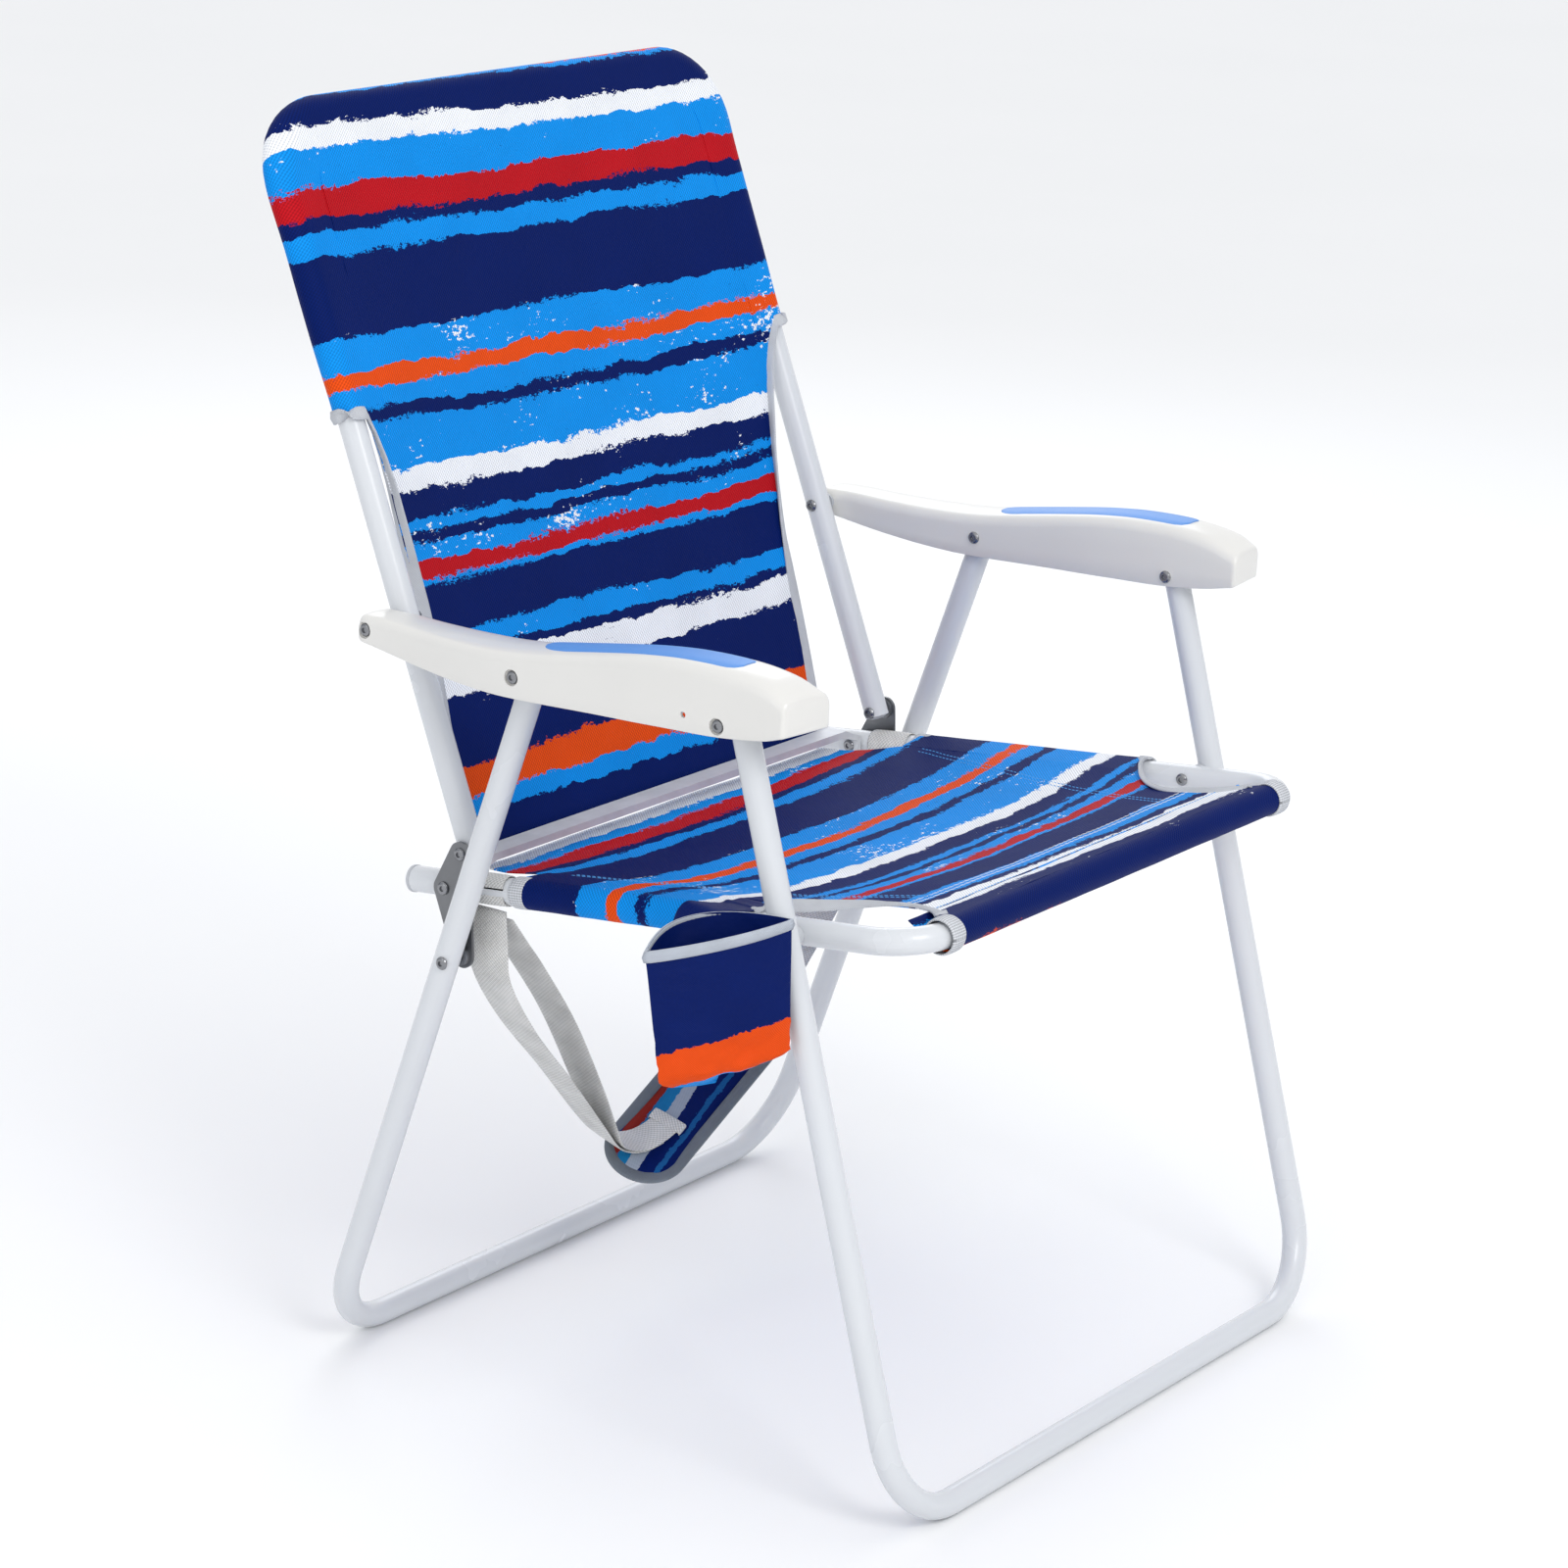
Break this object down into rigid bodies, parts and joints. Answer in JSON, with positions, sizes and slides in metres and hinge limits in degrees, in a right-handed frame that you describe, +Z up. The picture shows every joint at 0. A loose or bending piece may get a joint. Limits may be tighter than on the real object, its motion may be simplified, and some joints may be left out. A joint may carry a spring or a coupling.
{
  "type": "folding beach chair",
  "caption": "Folding beach chair: bent tube frame, fabric sling seat and tall back, channel armrests, cup pouch and padded carry strap.",
  "frame": {"origin": "on the floor, at the centre of the whole chair's footprint box", "axes": "+Z up; the sitter faces -Y; +X is the sitter's left"},
  "size_m": [0.7276, 0.6648, 0.9518],
  "materials": {
    "frame_paint": "gloss powder coat",
    "plug_plastic": "moulded",
    "arm_plastic": "glossy moulding",
    "inlay_plastic": "satin strip",
    "rivet_steel": "polished",
    "plate_steel": "zinc plated",
    "bar_paint": "silver paint",
    "sling_cloth": "striped twill",
    "pouch_cloth": "plain weave",
    "webbing": "diagonal webbing",
    "pad_cloth": "striped twill"
  },
  "bodies": {
    "rear_legs": {"rear_leg_frame": "frame_paint", "rear_leg_plugs": "plug_plastic", "rear_leg_link_rivets": "rivet_steel"},
    "arms": {"armrest_left": "arm_plastic", "armrest_right": "arm_plastic", "armrest_inlay_left": "inlay_plastic", "armrest_inlay_right": "inlay_plastic", "arm_rear_leg_rivets": "rivet_steel", "arm_front_leg_rivets": "rivet_steel", "arm_back_rivets": "rivet_steel", "arm_back_washers": "plug_plastic"},
    "front_legs": {"front_leg_frame": "frame_paint", "front_leg_plugs": "plug_plastic"},
    "back": {"back_frame": "frame_paint", "back_tube_plugs": "plug_plastic", "back_link_rivets": "rivet_steel", "back_sling": "sling_cloth"},
    "seat": {"seat_frame": "frame_paint", "seat_crossbar": "bar_paint", "seat_rail_caps": "plug_plastic", "seat_link_rivets": "rivet_steel", "seat_link_washers": "plate_steel", "seat_front_leg_rivets": "rivet_steel", "seat_front_leg_bushes": "plug_plastic", "seat_sling": "sling_cloth", "cup_holder": "pouch_cloth", "carry_strap": "webbing", "shoulder_pad": "pad_cloth", "strap_keepers": "plate_steel"},
    "plates": {"link_plate_left": "plate_steel", "link_plate_right": "plate_steel", "plate_back_rivet_heads": "rivet_steel", "plate_back_washers": "plate_steel", "plate_leg_rivet_heads": "rivet_steel", "plate_leg_spacers": "plate_steel"}
  },
  "joints": [
    {"name": "arms_on_rear_legs", "type": "hinge", "parent": "rear_legs", "child": "arms", "pos_m": [0.03615, 0.02831, 0.58], "axis": [-1, 0, 0], "range_deg": [0, 50.95]},
    {"name": "back_on_arms", "type": "hinge", "parent": "arms", "child": "back", "pos_m": [0.03615, 0.17481, 0.5855], "axis": [1, 0, 0], "range_deg": [0, 91.4]},
    {"name": "front_legs_on_arms", "type": "hinge", "parent": "arms", "child": "front_legs", "pos_m": [0.03615, -0.15369, 0.58], "axis": [1, 0, 0], "range_deg": [0, 86.3]},
    {"name": "seat_on_front_legs", "type": "hinge", "parent": "front_legs", "child": "seat", "pos_m": [0.03615, -0.19469, 0.425], "axis": [-1, 0, 0], "range_deg": [0, 86.8]},
    {"name": "plates_on_seat", "type": "hinge", "parent": "seat", "child": "plates", "pos_m": [0.03615, 0.12131, 0.3905], "axis": [-1, 0, 0], "range_deg": [0, 81.9]}
  ],
  "couplings": [
    {"joint": "back_on_arms", "follows": "arms_on_rear_legs", "ratio": 1.7918},
    {"joint": "front_legs_on_arms", "follows": "arms_on_rear_legs", "ratio": 1.6907},
    {"joint": "seat_on_front_legs", "follows": "arms_on_rear_legs", "ratio": 1.7013},
    {"joint": "plates_on_seat", "follows": "arms_on_rear_legs", "ratio": 1.6045}
  ]
}
